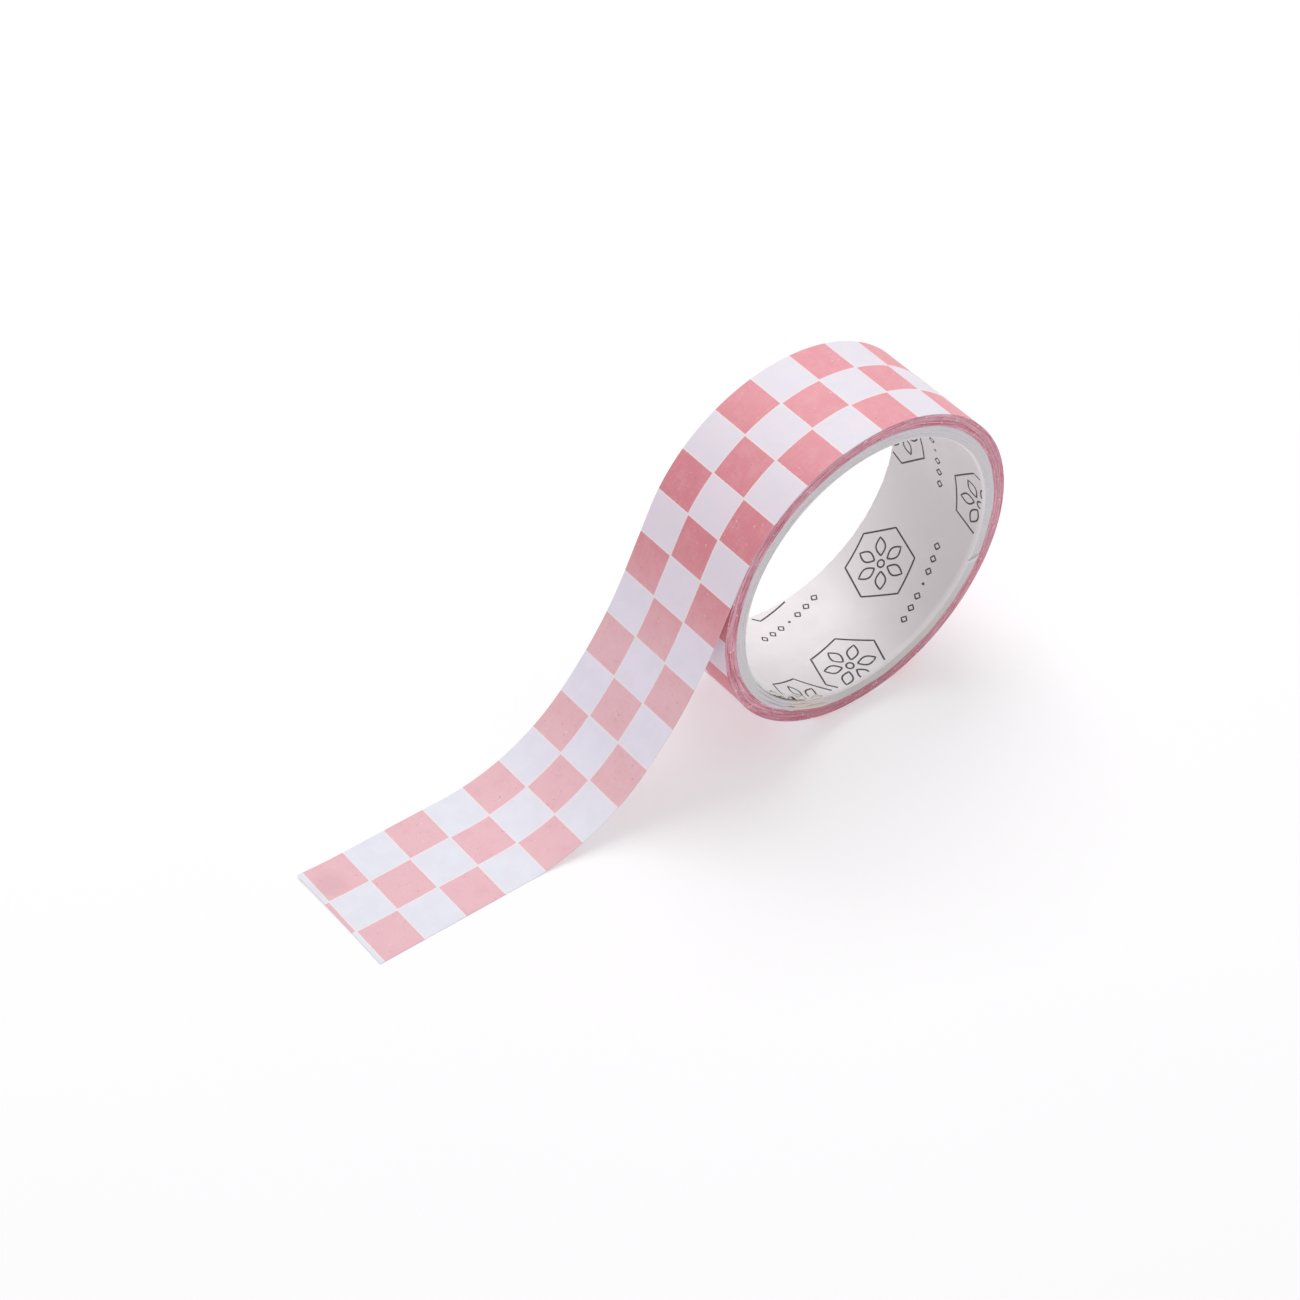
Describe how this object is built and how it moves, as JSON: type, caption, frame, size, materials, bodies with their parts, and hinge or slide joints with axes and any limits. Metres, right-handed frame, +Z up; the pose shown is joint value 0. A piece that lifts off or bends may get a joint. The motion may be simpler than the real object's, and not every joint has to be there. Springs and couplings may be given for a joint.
{
  "type": "tape roll",
  "caption": "Small roll of checked decorative paper tape on a board core, standing on its rim with a peeled tail lying on the table; the tail peels off the roll and curls.",
  "frame": {"origin": "on the table, under the roll's axis and at the middle of the tape's width", "axes": "+Z up from the table; +Y along the roll's axis, away from the face seen with the tail on the left; -X the way the tail runs, so +X points from the tail's end to the roll"},
  "size_m": [0.0834, 0.015, 0.0391],
  "materials": {
    "printed_tape": "matte",
    "tape_edges": "matte",
    "core_liner_paper": "matte",
    "core_board": "matte"
  },
  "bodies": {
    "roll": {"core_liner": "core_liner_paper", "core_ply_inner": "core_board", "core_ply_middle": "core_board", "core_ply_outer": "core_board", "wound_tape": "tape_edges", "outer_turn": "printed_tape"},
    "tape_lift_1": {"tape_lift_1": "printed_tape"},
    "tape_lift_2": {"tape_lift_2": "printed_tape"},
    "tape_lift_3": {"tape_lift_3": "printed_tape"},
    "tape_lift_4": {"tape_lift_4": "printed_tape"},
    "tape_lift_5": {"tape_lift_5": "printed_tape"},
    "tape_lift_6": {"tape_lift_6": "printed_tape"},
    "tape_tail_1": {"tape_tail_1": "printed_tape"},
    "tape_tail_2": {"tape_tail_2": "printed_tape"},
    "tape_tail_3": {"tape_tail_3": "printed_tape"},
    "tape_tail_4": {"tape_tail_4": "printed_tape"},
    "tape_tail_5": {"tape_tail_5": "printed_tape"},
    "tape_tail_6": {"tape_tail_6": "printed_tape"},
    "tape_tail_7": {"tape_tail_7": "printed_tape"},
    "tape_tail_8": {"tape_tail_8": "printed_tape"},
    "tape_tail_9": {"tape_tail_9": "printed_tape"},
    "tape_tail_10": {"tape_tail_10": "printed_tape"},
    "tape_tail_11": {"tape_tail_11": "printed_tape"},
    "tape_tail_12": {"tape_tail_12": "printed_tape"}
  },
  "joints": [
    {"name": "peel_1", "type": "hinge", "parent": "roll", "child": "tape_lift_1", "pos_m": [0.00991, 0, 0.03632], "axis": [0, 1, 0], "range_deg": [0, 15]},
    {"name": "peel_2", "type": "hinge", "parent": "tape_lift_1", "child": "tape_lift_2", "pos_m": [0.00522, 0, 0.03832], "axis": [0, 1, 0], "range_deg": [0, 15]},
    {"name": "peel_3", "type": "hinge", "parent": "tape_lift_2", "child": "tape_lift_3", "pos_m": [0.00017, 0, 0.03903], "axis": [0, 1, 0], "range_deg": [0, 15]},
    {"name": "peel_4", "type": "hinge", "parent": "tape_lift_3", "child": "tape_lift_4", "pos_m": [-0.00489, 0, 0.03841], "axis": [0, 1, 0], "range_deg": [0, 15]},
    {"name": "peel_5", "type": "hinge", "parent": "tape_lift_4", "child": "tape_lift_5", "pos_m": [-0.00963, 0, 0.0365], "axis": [0, 1, 0], "range_deg": [0, 15]},
    {"name": "peel_6", "type": "hinge", "parent": "tape_lift_5", "child": "tape_lift_6", "pos_m": [-0.01371, 0, 0.03344], "axis": [0, 1, 0], "range_deg": [0, 15]},
    {"name": "peel_7", "type": "hinge", "parent": "tape_lift_6", "child": "tape_tail_1", "pos_m": [-0.01685, 0, 0.02942], "axis": [0, 1, 0], "range_deg": [0, 15]},
    {"name": "curl_1", "type": "hinge", "parent": "tape_tail_1", "child": "tape_tail_2", "pos_m": [-0.01903, 0, 0.02478], "axis": [0, 1, 0], "range_deg": [0, 10], "stiffness_Nm_per_rad": 0.00005},
    {"name": "curl_2", "type": "hinge", "parent": "tape_tail_2", "child": "tape_tail_3", "pos_m": [-0.02108, 0, 0.02007], "axis": [0, 1, 0], "range_deg": [0, 10], "stiffness_Nm_per_rad": 0.00005},
    {"name": "curl_3", "type": "hinge", "parent": "tape_tail_3", "child": "tape_tail_4", "pos_m": [-0.02339, 0, 0.0155], "axis": [0, 1, 0], "range_deg": [0, 10], "stiffness_Nm_per_rad": 0.00005},
    {"name": "curl_4", "type": "hinge", "parent": "tape_tail_4", "child": "tape_tail_5", "pos_m": [-0.02619, 0, 0.0112], "axis": [0, 1, 0], "range_deg": [0, 10], "stiffness_Nm_per_rad": 0.00005},
    {"name": "curl_5", "type": "hinge", "parent": "tape_tail_5", "child": "tape_tail_6", "pos_m": [-0.02944, 0, 0.00723], "axis": [0, 1, 0], "range_deg": [0, 10], "stiffness_Nm_per_rad": 0.00005},
    {"name": "curl_6", "type": "hinge", "parent": "tape_tail_6", "child": "tape_tail_7", "pos_m": [-0.03328, 0, 0.00385], "axis": [0, 1, 0], "range_deg": [0, 10], "stiffness_Nm_per_rad": 0.00005},
    {"name": "curl_7", "type": "hinge", "parent": "tape_tail_7", "child": "tape_tail_8", "pos_m": [-0.03781, 0, 0.00147], "axis": [0, 1, 0], "range_deg": [0, 10], "stiffness_Nm_per_rad": 0.00005},
    {"name": "curl_8", "type": "hinge", "parent": "tape_tail_8", "child": "tape_tail_9", "pos_m": [-0.04278, 0, 0.00022], "axis": [0, 1, 0], "range_deg": [0, 10], "stiffness_Nm_per_rad": 0.00005},
    {"name": "curl_9", "type": "hinge", "parent": "tape_tail_9", "child": "tape_tail_10", "pos_m": [-0.0479, 0, 0.00004], "axis": [0, 1, 0], "range_deg": [0, 10], "stiffness_Nm_per_rad": 0.00005},
    {"name": "curl_10", "type": "hinge", "parent": "tape_tail_10", "child": "tape_tail_11", "pos_m": [-0.05303, 0, 0.00004], "axis": [0, 1, 0], "range_deg": [0, 10], "stiffness_Nm_per_rad": 0.00005},
    {"name": "curl_11", "type": "hinge", "parent": "tape_tail_11", "child": "tape_tail_12", "pos_m": [-0.05816, 0, 0.00004], "axis": [0, 1, 0], "range_deg": [0, 10], "stiffness_Nm_per_rad": 0.00005}
  ],
  "couplings": [
    {"joint": "peel_2", "follows": "peel_1", "ratio": 1},
    {"joint": "peel_3", "follows": "peel_1", "ratio": 1},
    {"joint": "peel_4", "follows": "peel_1", "ratio": 1},
    {"joint": "peel_5", "follows": "peel_1", "ratio": 1},
    {"joint": "peel_6", "follows": "peel_1", "ratio": 1},
    {"joint": "peel_7", "follows": "peel_1", "ratio": 1},
    {"joint": "curl_2", "follows": "curl_1", "ratio": 1},
    {"joint": "curl_3", "follows": "curl_1", "ratio": 1},
    {"joint": "curl_4", "follows": "curl_1", "ratio": 1},
    {"joint": "curl_5", "follows": "curl_1", "ratio": 1},
    {"joint": "curl_6", "follows": "curl_1", "ratio": 1},
    {"joint": "curl_7", "follows": "curl_1", "ratio": 1},
    {"joint": "curl_8", "follows": "curl_1", "ratio": 1},
    {"joint": "curl_9", "follows": "curl_1", "ratio": 1},
    {"joint": "curl_10", "follows": "curl_1", "ratio": 1},
    {"joint": "curl_11", "follows": "curl_1", "ratio": 1}
  ]
}
